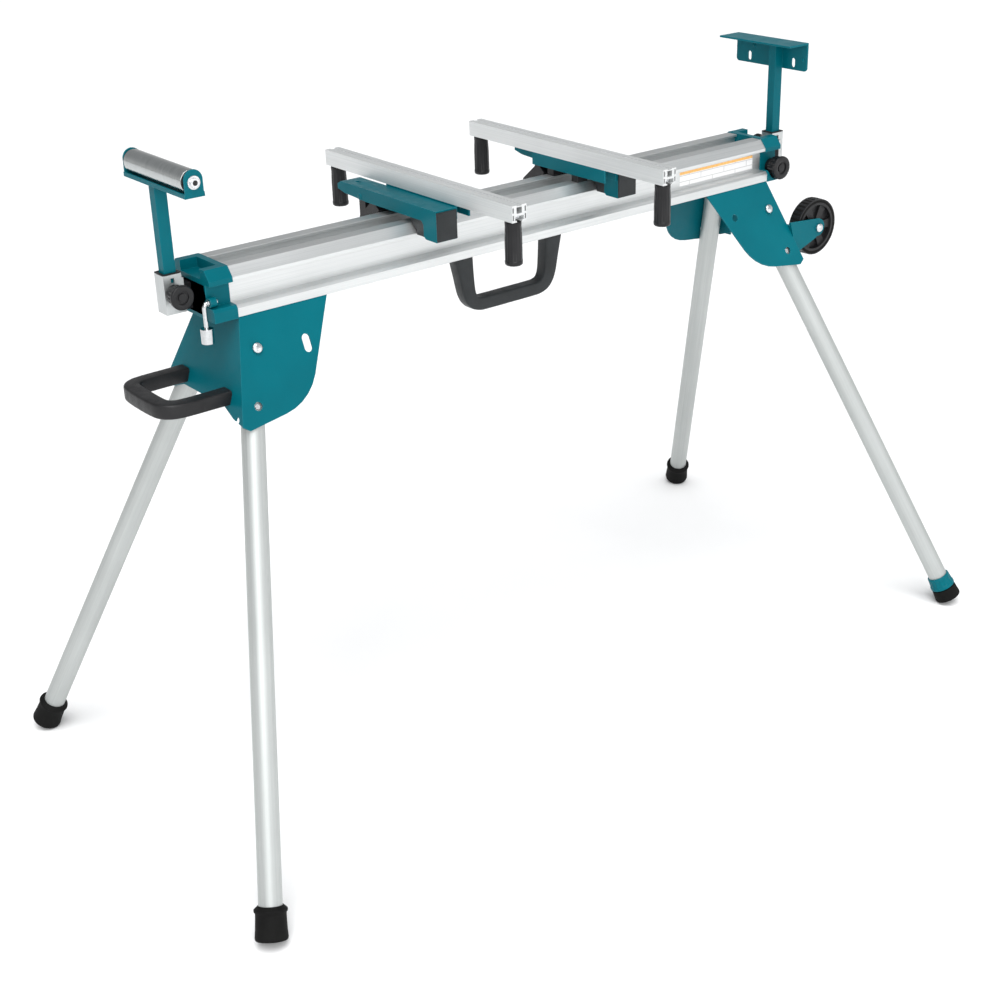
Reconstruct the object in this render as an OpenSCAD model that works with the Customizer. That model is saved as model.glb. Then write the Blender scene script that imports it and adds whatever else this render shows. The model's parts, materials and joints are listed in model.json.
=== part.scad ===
// Folding work stand for a mitre saw: an aluminium beam on four fold-out legs,
// two clamp-on machine rails, and a pull-out arm at each end that carries a
// material roller on the left and a length stop on the right.
// Millimetres. X runs along the beam, the user stands on the -Y side, the floor
// is Z = 0 and the origin is on the floor under the middle of the beam.

/* [Beam] */
// Length of the aluminium beam between its two end caps
beam_len = 1000; // [900:10:1100]
// Height of the beam's underside above the floor
beam_z = 742; // [700:1:780]
// Depth of each end cap along the beam
cap_len = 35; // [32:1:40]

/* [Legs] */
// Outside diameter of a leg tube
leg_d = 32; // [28:1:34]
// Outward lean of the legs across the beam, in degrees
splay = 23.2; // [21:0.1:25]
// Distance of a leg pivot from the middle of the beam
pivot_x = 487; // [480:1:488]
// Distance of a foot from the middle of the beam, along the beam
foot_x = 701; // [680:1:720]
// Diameter of the rubber feet
foot_d = 43; // [40:1:46]
// Length of the rubber feet
foot_len = 45; // [40:1:50]
// Angle below the beam at which the left legs stop when they fold, in degrees
fold_slope = 13; // [13:0.5:15]

/* [Extension arms] */
// Distance of the posts from the middle of the beam, arms pushed in
post_x = 567; // [560:1:580]
// Width of a post along the beam
post_w = 17; // [16:1:19]
// Depth of a post across the beam
post_d = 15; // [14:1:17]
// Length of the roller
roller_len = 150; // [140:2:180]
// Diameter of the roller
roller_d = 30; // [26:1:32]
// Height of the roller's axis above the floor
roller_z = 941; // [935:1:955]
// Length of the stop plate across the beam
stop_len = 156; // [140:2:180]

/* [Machine rails] */
// Length of each rail across the beam
rail_len = 448; // [440:2:480]
// Width of each rail
rail_w = 25; // [25:0.5:26]
// Height of each rail
rail_h = 23; // [23:0.5:25]
// Height of the rails' underside above the beam's top
rail_lift = 30; // [30:0.5:32]
// Position of the left rail along the beam
left_rail_x = -162; // [-200:1:-120]
// Position of the right rail along the beam
right_rail_x = 112; // [80:1:160]
// Distance of the clamp knobs from the middle of a rail
clamp_y = 210; // [205:1:212]
// Diameter of the clamp knobs
clamp_d = 24.5; // [21:0.5:25]

/* [Handles and wheels] */
// Middle of the carry handle along the beam
carry_x = -9; // [-30:1:30]
// Width of the carry handle
carry_w = 203; // [180:1:220]
// Depth of the carry handle below the beam
carry_h = 103; // [90:1:110]
// Reach of the drag handle from the middle of the beam
drag_x = 631; // [620:1:650]
// Width of the drag handle
drag_w = 137; // [130:1:160]
// Diameter of the transport wheels
wheel_d = 94; // [90:1:100]
// Distance of the wheel axles from the middle of the beam
wheel_x = 589; // [586:1:600]
// Height of the wheel axles above the floor
wheel_z = 654; // [650:1:660]

/* [Hidden] */
$fn = 48;

teal = [0.00, 0.44, 0.52];
aluminium = [0.83, 0.85, 0.86];
steel = [0.72, 0.73, 0.75];
black = [0.10, 0.10, 0.11];
grey = [0.24, 0.26, 0.28];

// Clearances: between flat sliding faces, round a turning shaft, and overlap of cuts
gap = 0.3;
run = 0.05;
cut = 1;

// Beam section, heights measured up from the beam's underside
half_len = beam_len / 2;
flange_y = 54;
flange_h = 16;
web_y = 36;
lip_y = 48;
lip_z = 48;
crown_y = 37;
beam_h = 66;
chamber_y = 33;
chamber_z = 4;
chamber_h = 42;
slot_y = 17;
slot_undercut = 22;
slot_floor = 50;
slot_lip = 4;
beam_top = beam_z + beam_h;

// Extension tube section; the right arm uses the front half of the chamber
tube_w = 28;
tube_h = 36;
tube_wall = 2.5;
tube_y = -16;
tube_z = beam_z + 7;
tube_len = 990;
cap_end = half_len + cap_len;
plate_x = post_x - 15.5;

// Post socket and post
socket_w = 26;
socket_d = 24;
socket_z = beam_z + 10;
socket_h = 53;
post_foot = socket_z + 5;
post_gap = 0.5;
post_knob_z = socket_z + 27;
bracket_z = roller_z - 19;
bracket_w = 28;
ear_t = 2.5;
ear_y = roller_len / 2 + 3.5;

// Roller and stop plate are set off their posts by this much across the beam
head_shift = 18;
stop_z = beam_z + 167;
stop_h = 46;
stop_t = 3;

// Leg geometry, in the plane of a bracket's side plate
plate_y = 53;
plate_t = 2.5;
leg_gap = 1;
leg_depth = plate_t + leg_gap + leg_d / 2;
pivot_drop = 45;
lock_r = 77;
foot_tilt = acos(cos(splay) * cos(16));
foot_drop = (beam_z - leg_depth * sin(splay) - foot_d / 2 * sin(foot_tilt)) / cos(splay) - pivot_drop;
rake = atan((foot_x - pivot_x) / foot_drop);
leg_len = foot_drop / cos(rake);
leg_wall = 2;
bolt_r = 5;
button_r = 4.95;
bracket_in = 362;
bracket_out = half_len - 1;
bracket_low = 140;
bracket_flare = 40;
corner_r = 80;

// End plate of a bracket: it leans out with the plates' outer edges
end_lean = atan(bracket_flare / (bracket_low * cos(splay)));

// Rail and clamp geometry
rail_z = beam_top + rail_lift;
tee_slot = 8.5;
tee_lip = 2.2;
tee_w = 15;
tee_h = 6;
groove_w = 8;
groove_d = 1.5;
saddle_front = -100;
saddle_rear = 66;
saddle_h = 19;
sheet = 2.5;
lever_in = rail_w / 2 + 0.8;
lever_w = 34;
lever_top = rail_z - 2;
hinge_y = 84;
hinge_z = beam_top + 14;
pin_r = 4;

// Cam lever and arm lock knob on each end cap
cam_y = 43;
cam_z = beam_z + 25;
arm_knob_x = half_len + 22;
arm_knob_z = beam_z + 20;
arm_knob_r = 19;

// Handles and wheels
drag_z = beam_z - 110;
drag_h = 18;
drag_bar = 22;
carry_t = 22;
arm_y = 90;
arm_t = 3;
wheel_w = 20;
wheel_y = -78;

// ---------------------------------------------------------------- placing

// Extrudes a Y-Z section along X from x0
module along_x(x0, length) {
  translate([x0, 0, 0]) rotate([90, 0, 90]) linear_extrude(length) children();
}

// Extrudes an X-Z section along Y from y0
module along_y(y0, length) {
  translate([0, y0 + length, 0]) rotate([90, 0, 0]) linear_extrude(length) children();
}

// A cylinder along Y from y0
module rod_y(x, y0, z, r, length) {
  translate([x, y0 + length, z]) rotate([90, 0, 0]) cylinder(h = length, r = r);
}

// A cylinder along X from x0
module rod_x(x0, y, z, r, length) {
  translate([x0, y, z]) rotate([0, 90, 0]) cylinder(h = length, r = r);
}

// Places the front right corner's shape at any corner
module corner(side_x, side_y) {
  mirror([side_x < 0 ? 1 : 0, 0, 0])
    mirror([0, side_y > 0 ? 1 : 0, 0])
      children();
}

// The right end's shape, turned half a turn for the left end
module at_end(side) {
  rotate([0, 0, side < 0 ? 180 : 0]) children();
}

// Side plate frame at the front right: X along the beam, Y inwards, Z up the plate
module plate_frame() {
  translate([0, -plate_y, beam_z]) rotate([-splay, 0, 0]) children();
}

// Leg frame: origin at the pivot on the tube's axis, Z up along the tube
module leg_frame() {
  plate_frame() translate([pivot_x, leg_depth, -pivot_drop]) rotate([0, -rake, 0]) children();
}

// Rail frame: X from the rail's middle, the lever on the +X side
module rail_frame(side) {
  translate([side < 0 ? left_rail_x : right_rail_x, 0, 0])
    mirror([side < 0 ? 1 : 0, 0, 0])
      children();
}

// ---------------------------------------------------------------- beam

// One side of the beam's outline, grown outwards by g
function half_outline(g) = [
  [flange_y + g, -g], [flange_y + g, flange_h - 4 + g], [flange_y - 3 + g, flange_h + g],
  [web_y + g, flange_h + g], [web_y + g, lip_z - g], [lip_y + g, lip_z - g],
  [lip_y + g, lip_z + 5 + g / 2], [crown_y + g, beam_h + g]
];

function both_sides(half) = concat(
  half, [for (i = [len(half) - 1:-1:0]) [-half[i][0], half[i][1]]]
);

module chamber() {
  translate([-chamber_y, chamber_z]) square([2 * chamber_y, chamber_h]);
}

module beam_section() {
  difference() {
    polygon(both_sides(half_outline(0)));
    chamber();
    translate([-slot_undercut, slot_floor])
      square([2 * slot_undercut, beam_h - slot_lip - slot_floor]);
    translate([-slot_y, beam_h - slot_lip - cut]) square([2 * slot_y, slot_lip + 2 * cut]);
    for (s = [-1, 1])
      translate([s * (flange_y + web_y) / 2 - 6, 3]) square([12, 9]);
  }
}

module beam() {
  color(aluminium)
    translate([0, 0, beam_z]) along_x(-half_len, beam_len) beam_section();
}

// Right end cap, its top open from the lip outwards: the lock knob's hole is in
// front, the cam lever's boss behind
module end_cap() {
  boss_len = 9;
  lip = 10;
  recess_y = 26;
  recess_floor = 53;
  color(teal)
    difference() {
      union() {
        translate([0, 0, beam_z]) along_x(half_len, cap_len) difference() {
          polygon(both_sides(half_outline(1)));
          chamber();
        }
        rod_x(cap_end - boss_len, cam_y, cam_z, 6.5, boss_len);
      }
      translate([half_len + lip, -recess_y, beam_z + recess_floor])
        cube([cap_len, 2 * recess_y, beam_h]);
      rod_y(arm_knob_x, -web_y - 3, arm_knob_z, 4 + run, 10);
      rod_y(arm_knob_x, -flange_y - 2, arm_knob_z, arm_knob_r + 0.5, flange_y + 1 - web_y);
      rod_x(cap_end - boss_len - 6, cam_y, cam_z, pin_r + run, boss_len + 10);
    }
}

// Plastic guide that fills a cap's chamber and leads the extension tube
module arm_guide() {
  color(black)
    difference() {
      translate([0, 0, beam_z]) along_x(half_len + 2, cap_len - 4) difference() {
        chamber();
        translate([tube_y - tube_w / 2 - gap, 7 - gap])
          square([tube_w + 2 * gap, tube_h + 2 * gap]);
      }
      rod_y(arm_knob_x, -chamber_y - cut, arm_knob_z, 4 + gap, 6);
    }
}

module arm_guides() {
  for (side = [-1, 1]) at_end(side) arm_guide();
}

// ---------------------------------------------------------------- leg brackets

// Side plate outline, X outwards and Y down the plate, with a round inner corner
function plate_outline() = concat(
  [[bracket_in, 0], [bracket_out, 0],
   [bracket_out + bracket_flare, bracket_low], [bracket_out + bracket_flare - 10, bracket_low + 7]],
  [for (a = [98:10.5:151]) [483 + corner_r * cos(a), 59.5 + corner_r * sin(a)]]
);

module hole_in_plate(x, drop, r) {
  translate([x, -drop]) circle(r);
}

// slotted: the folded leg's lock position is a slot, else a round hole
module side_plate(slotted) {
  hole_x = pivot_x - lock_r * cos(slotted ? fold_slope : 0);
  hole_drop = pivot_drop + lock_r * sin(slotted ? fold_slope : 0);
  plate_frame()
    translate([0, plate_t, 0]) rotate([90, 0, 0]) linear_extrude(plate_t)
      difference() {
        mirror([0, 1]) polygon(plate_outline());
        hole_in_plate(pivot_x, pivot_drop, bolt_r + run);
        hole_in_plate(pivot_x + lock_r * sin(rake), pivot_drop + lock_r * cos(rake), 6);
        hole_in_plate(hole_x, hole_drop, 6);
        if (slotted) {
          hole_in_plate(hole_x, pivot_drop + 4, 6);
          translate([hole_x - 6, -hole_drop]) square([12, hole_drop - pivot_drop - 4]);
        }
      }
}

// End plate frame: X outwards, Z up the leaning plate
module end_frame() {
  translate([bracket_out, 0, beam_z]) rotate([0, -end_lean, 0]) children();
}

function end_half(s) = plate_y + s * cos(end_lean) * tan(splay);

module end_plate() {
  low = bracket_low * cos(splay) / cos(end_lean);
  mid = low - 14;
  notch_y = end_half(low) - 16;
  end_frame()
    translate([-sheet, 0, 0]) rotate([90, 0, 90]) linear_extrude(sheet)
      difference() {
        polygon([
          [-end_half(0), 0], [end_half(0), 0],
          [end_half(low), -low], [end_half(low) - 26, -low + 4], [55, -mid],
          [-55, -mid], [-end_half(low) + 26, -low + 4], [-end_half(low), -low]
        ]);
        for (s = [-1, 1]) translate([s * notch_y, -low + 5]) circle(4.5);
      }
}

module leg_bracket(slotted) {
  color(teal) union() {
    for (side = [-1, 1]) mirror([0, side > 0 ? 1 : 0, 0]) side_plate(slotted);
    end_plate();
    difference() {
      translate([bracket_in + 4, -plate_y + 1, beam_z - 3])
        cube([bracket_out - bracket_in - 4, 2 * plate_y - 2, 3]);
      for (x = [390, 455], y = [-24, 24])
        translate([x, y, beam_z - 3 - cut]) cylinder(h = 5, r = 3.2);
    }
  }
}

// ---------------------------------------------------------------- fasteners

module pivot_bolt() {
  head_h = 4.5;
  head_r = 6.8;
  washer_t = 2;
  plate_frame() translate([pivot_x, 0, -pivot_drop]) rotate([-90, 0, 0]) {
    translate([0, 0, -head_h]) cylinder(h = head_h - washer_t, r1 = head_r - 2, r2 = head_r);
    translate([0, 0, -washer_t]) cylinder(h = washer_t, r = head_r);
    cylinder(h = leg_depth + leg_d / 2 + 10, r = bolt_r);
    translate([0, 0, leg_depth + leg_d / 2 + 1]) cylinder(h = 6, r = 8.5, $fn = 6);
  }
}

module wheel_bolt() {
  rod_y(wheel_x, -arm_y - arm_t - 4.5, wheel_z, 6.5, 4.5);
  rod_y(wheel_x, -arm_y - arm_t, wheel_z, bolt_r, 33);
  translate([wheel_x, -60, wheel_z]) rotate([90, 0, 0]) cylinder(h = 6, r = 8, $fn = 6);
}

// Bolts that hold a bracket to the beam, heads under the bracket's top web
module bracket_bolts() {
  for (x = [390, 455], y = [-24, 24]) translate([x, y, beam_z - 7]) {
    cylinder(h = 4, r = 6, $fn = 6);
    cylinder(h = 7, r = 3);
  }
}

module frame_bolts() {
  color(steel) {
    for (sx = [-1, 1], sy = [-1, 1]) corner(sx, sy) pivot_bolt();
    for (sy = [-1, 1]) corner(1, sy) wheel_bolt();
    for (sx = [-1, 1]) corner(sx, -1) bracket_bolts();
  }
}

// ---------------------------------------------------------------- handles

module rounded_loop(w, h, r) {
  translate([0, h - r]) hull() for (s = [-1, 1]) translate([s * (w / 2 - r), 0]) circle(r);
  translate([-w / 2, 0]) square([w, h - r]);
}

// U-shaped grip that hangs from the middle of the beam
module carry_handle() {
  grip = 19;
  arm = 30;
  color(grey)
    translate([carry_x, carry_t / 2, beam_z]) rotate([90, 0, 0]) linear_extrude(carry_t)
      mirror([0, 1]) difference() {
        rounded_loop(carry_w, carry_h, 45);
        translate([0, -cut]) rounded_loop(carry_w - 2 * arm, carry_h - grip + cut, 16);
      }
}

// U-shaped grip that stands out from the left bracket's end plate
module drag_handle() {
  color(black)
    difference() {
      mirror([1, 0, 0]) translate([bracket_out, 0, drag_z]) linear_extrude(drag_h)
        rotate([0, 0, -90]) difference() {
          rounded_loop(drag_w, drag_x - bracket_out, 28);
          translate([0, -cut])
            rounded_loop(drag_w - 2 * drag_bar, drag_x - bracket_out - drag_bar + cut, 12);
        }
      mirror([1, 0, 0]) end_frame() translate([-80, -150, -250]) cube([80, 300, 300]);
    }
}

// ---------------------------------------------------------------- wheels

// Bent arm that carries a wheel outside the right bracket
module wheel_arm() {
  difference() {
    union() {
      along_y(-arm_y - arm_t, arm_t) union() {
        polygon([[515, 676], [wheel_x + 3, 669], [wheel_x + 14, 651], [wheel_x - 6, 637], [535, 620]]);
        translate([wheel_x, wheel_z]) circle(14.5);
      }
      end_frame() translate([0, -arm_y + 2, -128]) cube([arm_t, 28, 52]);
      end_frame() translate([0, -arm_y - arm_t, -128]) cube([arm_t, 8, 52]);
    }
    end_frame() translate([-80, -150, -250]) cube([80, 300, 300]);
    rod_y(wheel_x, -arm_y - arm_t - cut, wheel_z, bolt_r + run, arm_t + 2 * cut);
  }
}

module wheel_arms() {
  color(teal) for (sy = [-1, 1]) corner(1, sy) wheel_arm();
}

// Wheel with a solid web between its spokes
module wheel() {
  rim = 10;
  web_t = 4;
  spoke_t = 13;
  hub_r = 12;
  spoke_end = wheel_d / 2 - rim + 1;
  color(black)
    translate([wheel_x, wheel_y, wheel_z]) rotate([90, 0, 0]) difference() {
      union() {
        translate([0, 0, -wheel_w / 2]) difference() {
          cylinder(h = wheel_w, r = wheel_d / 2);
          translate([0, 0, -cut]) cylinder(h = wheel_w + 2 * cut, r = wheel_d / 2 - rim);
        }
        translate([0, 0, -wheel_w / 2]) cylinder(h = wheel_w, r = hub_r);
        translate([0, 0, -web_t / 2]) cylinder(h = web_t, r = spoke_end);
        for (a = [0:60:300]) rotate([0, 0, a])
          linear_extrude(spoke_t, center = true)
            polygon([[8, -4], [spoke_end, -8], [spoke_end, 8], [8, 4]]);
      }
      translate([0, 0, -wheel_w]) cylinder(h = 2 * wheel_w, r = bolt_r + run);
    }
}

module wheel_front() { corner(1, -1) wheel(); }
module wheel_rear() { corner(1, 1) wheel(); }

// ---------------------------------------------------------------- extension arms

module extension_tube() {
  color(grey)
    difference() {
      translate([plate_x - tube_len, tube_y - tube_w / 2, tube_z]) cube([tube_len, tube_w, tube_h]);
      translate([plate_x - tube_len - cut, tube_y - tube_w / 2 + tube_wall, tube_z + tube_wall])
        cube([tube_len + 2 * cut, tube_w - 2 * tube_wall, tube_h - 2 * tube_wall]);
    }
}

// Square socket for a post, welded to a plate on the end of the extension tube
module post_socket() {
  bore_w = post_w + 2 * post_gap;
  bore_d = post_d + 2 * post_gap;
  color(aluminium)
    difference() {
      union() {
        translate([post_x - socket_w / 2, -socket_d / 2, socket_z]) cube([socket_w, socket_d, socket_h]);
        translate([plate_x, tube_y - tube_w / 2, socket_z])
          cube([post_x - socket_w / 2 - plate_x + 1, socket_d / 2 - tube_y + tube_w / 2, 46]);
      }
      translate([post_x - bore_w / 2, -bore_d / 2, socket_z - cut]) cube([bore_w, bore_d, socket_h + 2 * cut]);
      rod_y(post_x, post_d / 2, post_knob_z, 4 + run, 8);
      translate([post_x - 2.5, -socket_d, socket_z + 41]) cube([5, 2 * socket_d, 7]);
    }
}

// Lock knob on a screw along Y: base is the seat of the screw, reach its length
// inside, head the length of the wide part in front of the neck
module lock_knob(x, base, z, r, neck_r, length, head, reach) {
  rod_y(x, base - reach, z, 4, reach + 5);
  difference() {
    union() {
      rod_y(x, base + gap, z, neck_r, length - head + cut);
      rod_y(x, base + gap + length - head, z, r, head);
    }
    rod_y(x, base + length - 3, z, r * 0.45, 5);
  }
}

module post_knob() {
  color(black) lock_knob(post_x, socket_d / 2, post_knob_z, 16.5, 13, 24, 11, 3.8);
}

module arm_knob() {
  color(black)
    mirror([0, 1, 0]) lock_knob(arm_knob_x, web_y + 1, arm_knob_z, arm_knob_r, 12, 29, 18, 6.8);
}

// Bent rod that turns in the cap's boss, with a round grip at its lower end
module cam_lever() {
  bend = 5;
  shaft_out = 2;
  rod_top = cam_z - bend;
  rod_r = 3;
  rod_len = 28;
  grip_len = 20;
  color(steel) {
    rod_x(cap_end - 11, cam_y, cam_z, pin_r, 11 + shaft_out);
    translate([cap_end + shaft_out, cam_y, rod_top]) rotate([90, 0, 0])
      rotate_extrude(angle = 90) translate([bend, 0]) circle(rod_r);
    translate([cap_end + shaft_out + bend, cam_y, rod_top - rod_len]) {
      cylinder(h = rod_len, r = rod_r);
      translate([0, 0, -grip_len]) cylinder(h = grip_len, r = 8.5);
    }
  }
}

module post(top) {
  wall = 2;
  difference() {
    translate([-post_w / 2, -post_d / 2, post_foot]) cube([post_w, post_d, top - post_foot]);
    translate([-post_w / 2 + wall, -post_d / 2 + wall, post_foot - cut])
      cube([post_w - 2 * wall, post_d - 2 * wall, top - post_foot]);
  }
}

// Post and cradle of the left end, in one welded piece
module roller_support() {
  base_t = 2.5;
  ear_w = 26;
  color(teal) {
    translate([-post_x, 0, 0]) post(bracket_z + 1);
    roller_frame() difference() {
      union() {
        translate([-bracket_w / 2, -ear_y - ear_t, bracket_z])
          cube([bracket_w, 2 * (ear_y + ear_t), base_t]);
        for (s = [-1, 1])
          translate([s < 0 ? -bracket_w / 2 : bracket_w / 2 - sheet, -ear_y - ear_t, bracket_z])
            cube([sheet, 2 * (ear_y + ear_t), 6]);
        for (y = [-ear_y - ear_t, ear_y]) {
          translate([-ear_w / 2, y, bracket_z]) cube([ear_w, ear_t, roller_z + 3 - bracket_z]);
          rod_y(0, y, roller_z + 3, ear_w / 2, ear_t);
        }
      }
      rod_y(0, -ear_y - 2 * ear_t, roller_z, bolt_r + run, 2 * ear_y + 4 * ear_t);
    }
  }
}

// Middle of the roller's length, over the left post's line but nearer the user
module roller_frame() {
  translate([-post_x, -head_shift, 0]) children();
}

module roller_axle() {
  out = ear_y + ear_t;
  head_r = 6.2;
  head_h = 4;
  color(steel) roller_frame() {
    rod_y(0, -out, roller_z, bolt_r, 2 * out);
    rod_y(0, -out - head_h, roller_z, head_r, head_h);
    rod_y(0, out, roller_z, head_r, head_h);
  }
}

module roller_tube() {
  color(steel) roller_frame() difference() {
    rod_y(0, -roller_len / 2, roller_z, roller_d / 2, roller_len);
    rod_y(0, -roller_len / 2 - cut, roller_z, roller_d / 2 - 2.5, roller_len + 2 * cut);
  }
}

// Plugs that carry the roller on its axle
module roller_caps() {
  plug = 14;
  color(black) roller_frame() for (s = [-1, 1]) mirror([0, s > 0 ? 1 : 0, 0]) difference() {
    union() {
      rod_y(0, -roller_len / 2, roller_z, roller_d / 2 - 2.5, plug);
      rod_y(0, -roller_len / 2 - 2, roller_z, roller_d / 2 - 0.7, 2);
    }
    rod_y(0, -roller_len / 2 - 3, roller_z, bolt_r + run, plug + 5);
  }
}

// Outline of the stop plate seen along the beam, its lower corners rounded
module stop_outline() {
  corner = 6;
  hull() {
    for (s = [-1, 1]) translate([s * (stop_len / 2 - corner), corner]) circle(corner);
    translate([-stop_len / 2, stop_h - 1]) square([stop_len, 1]);
  }
}

// Post and angle plate of the right end, in one welded piece; the plate stands
// outside the post, its shelf reaches back over it
module stop_support() {
  shelf = 45.4;
  slot_at = 48.5;
  slot_r = 4;
  slot_low = 8;
  slot_len = 7;
  top = stop_z + stop_h;
  face = post_w / 2;
  color(teal) translate([post_x, 0, 0]) {
    post(top - stop_t + 1);
    translate([0, head_shift, 0]) {
      translate([0, 0, stop_z]) along_x(face, stop_t) difference() {
        stop_outline();
        for (s = [-1, 1]) hull() for (z = [slot_low, slot_low + slot_len])
          translate([s * slot_at, z]) circle(slot_r);
      }
      translate([face + stop_t - shelf, -stop_len / 2, top - stop_t]) cube([shelf, stop_len, stop_t]);
    }
  }
}

// ---------------------------------------------------------------- machine rails

module rail_section() {
  difference() {
    translate([-rail_w / 2, 0]) square([rail_w, rail_h]);
    translate([-tee_slot / 2, -cut]) square([tee_slot, tee_lip + 2 * cut]);
    translate([-tee_w / 2, tee_lip]) square([tee_w, tee_h]);
    translate([-4.5, 11.5]) square([9, 8.5]);
    for (s = [-1, 1], z = [3, 13]) translate([s * 10.3 - 1.1, z]) square([2.2, 7]);
    translate([-groove_w / 2, rail_h - groove_d]) square([groove_w, groove_d + cut]);
  }
}

module rail() {
  color(aluminium)
    translate([0, 0, rail_z]) along_y(-rail_len / 2, rail_len) rail_section();
}

module rail_bolt_places() {
  for (y = [-72, 42]) translate([0, y, 0]) children();
}

// Channel under the rail
module saddle() {
  length = saddle_rear - saddle_front;
  color(teal) difference() {
    translate([-rail_w / 2, saddle_front, rail_z - saddle_h]) cube([rail_w, length, saddle_h]);
    translate([-rail_w / 2 + sheet, saddle_front - cut, rail_z - saddle_h - cut])
      cube([rail_w - 2 * sheet, length + 2 * cut, saddle_h - sheet + cut]);
    rail_bolt_places() translate([0, 0, rail_z - sheet - cut]) cylinder(h = sheet + 2 * cut, r = 4.3);
  }
}

// Feet on the beam's top, and the jaw that hooks under the beam's rear lip
module saddle_pads() {
  inner = rail_w - 2 * sheet;
  jaw_in = -inner / 2;
  jaw_out = lever_in + lever_w - sheet - 1;
  lip_top = beam_z + lip_z;
  color(black) {
    for (y = [-30, 26])
      translate([-inner / 2, y - 7, beam_top]) cube([inner, 14, rail_lift - sheet]);
    difference() {
      union() {
        along_x(jaw_in, jaw_out - jaw_in) polygon([
          [42, beam_top + 1], [50, beam_top + 8], [64, beam_top + 8], [93, beam_top - 16],
          [93, beam_top - 22], [88, lip_top - 7], [44, lip_top - 7], [40, lip_top - 4],
          [40, lip_top - 0.5], [lip_y + 1, lip_top - 0.5], [lip_y + 1, lip_top + 6]
        ]);
        translate([-inner / 2, 50, beam_top + 7]) cube([inner, 14, rail_lift - sheet - 7]);
        translate([lever_in + sheet + 1, hinge_y - 8, beam_top - 16])
          cube([lever_w - 2 * sheet - 2, 16, hinge_z - beam_top + 16]);
        rod_x(lever_in + sheet + 1, hinge_y, hinge_z, 8, lever_w - 2 * sheet - 2);
      }
      rod_x(lever_in, hinge_y, hinge_z, pin_r + run, lever_w);
    }
  }
}

// Hinge pin of the lever, and the bolts that hold the rail on its saddle
module saddle_pins() {
  color(steel) {
    rod_x(lever_in - 0.4, hinge_y, hinge_z, pin_r, lever_w + 0.8);
    rail_bolt_places() {
      translate([-6.8, -6.8, rail_z + tee_lip]) cube([13.6, 13.6, 4.5]);
      translate([0, 0, rail_z - 14]) cylinder(h = 17, r = 4);
      translate([0, 0, rail_z - sheet - 6.5]) cylinder(h = 6.5, r = 7, $fn = 6);
    }
  }
}

// Side outline of the clamp lever: tail at +Y, drop leg at the front
function lever_outline() = [
  [-101, lever_top], [132, lever_top], [141, lever_top - 5], [141, lever_top - 12],
  [123, lever_top - 16], [67, lever_top - 19], [-66, lever_top - 19], [-71, lever_top - 24],
  [-71, lever_top - 40], [-75, lever_top - 44], [-101, lever_top - 44]
];

module clamp_lever() {
  inside = lever_w - 2 * sheet;
  color(teal) difference() {
    along_x(lever_in, lever_w) polygon(lever_outline());
    translate([lever_in + sheet, -101 + sheet, beam_top - 60])
      cube([inside, 300, lever_top - sheet - beam_top + 60]);
    rod_x(lever_in - cut, hinge_y, hinge_z, pin_r + run, lever_w + 2 * cut);
    translate([lever_in + lever_w / 2 - 3, 104, lever_top - 2 * sheet]) cube([6, 12, 3 * sheet]);
  }
}

// Front cover of the lever and the jaw that presses on the beam's front lip
module lever_pads() {
  color(grey) {
    translate([lever_in, -104, lever_top - 43]) cube([lever_w, 3, 41]);
    along_x(lever_in + sheet + 0.5, lever_w - 2 * sheet - 1) polygon([
      [-70, lever_top - sheet], [-36, lever_top - sheet], [-36, beam_top + 3],
      [-50, beam_top - 8], [-50, beam_top - 15], [-70, beam_top - 15]
    ]);
  }
}

// Bolt whose square head slides in the rail's lower slot
module tee_bolt(y) {
  color(steel) translate([0, y, 0]) {
    translate([-6.8, -6.8, rail_z + tee_lip + gap]) cube([13.6, 13.6, 4.5]);
    translate([0, 0, rail_z - 33]) cylinder(h = 36, r = 4);
  }
}

// Long barrel knob that pulls the tee bolt down
module clamp_knob(y) {
  length = 60;
  taper = 16;
  chamfer = 3;
  top = rail_z - 1.5;
  color(black) translate([0, y, top - length]) difference() {
    union() {
      cylinder(h = chamfer, r1 = clamp_d / 2 - 1.5, r2 = clamp_d / 2);
      translate([0, 0, chamfer]) cylinder(h = length - chamfer - taper, r = clamp_d / 2);
      translate([0, 0, length - taper]) cylinder(h = taper, r1 = clamp_d / 2, r2 = clamp_d / 2 - 2.5);
    }
    translate([0, 0, length - 34]) cylinder(h = 40, r = 4 + run);
  }
}

module rail_left() { rail_frame(-1) rail(); }
module rail_right() { rail_frame(1) rail(); }
module saddle_left() { rail_frame(-1) saddle(); }
module saddle_right() { rail_frame(1) saddle(); }
module saddle_pads_left() { rail_frame(-1) saddle_pads(); }
module saddle_pads_right() { rail_frame(1) saddle_pads(); }
module saddle_pins_left() { rail_frame(-1) saddle_pins(); }
module saddle_pins_right() { rail_frame(1) saddle_pins(); }
module clamp_lever_left() { rail_frame(-1) clamp_lever(); }
module clamp_lever_right() { rail_frame(1) clamp_lever(); }
module lever_pads_left() { rail_frame(-1) lever_pads(); }
module lever_pads_right() { rail_frame(1) lever_pads(); }

// ---------------------------------------------------------------- legs

// Leg tube; short is how far its lower end stops before the foot's end
module leg_tube(short) {
  head = 10;
  length = leg_len + head - short;
  color(aluminium) leg_frame() difference() {
    translate([0, 0, head - length]) cylinder(h = length, r = leg_d / 2);
    translate([0, 0, head - length - cut]) cylinder(h = length + 2 * cut, r = leg_d / 2 - leg_wall);
    rod_y(0, -leg_d, 0, bolt_r + run, 2 * leg_d);
    rod_y(0, -leg_d, -lock_r, 5, leg_d);
  }
}

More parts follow.
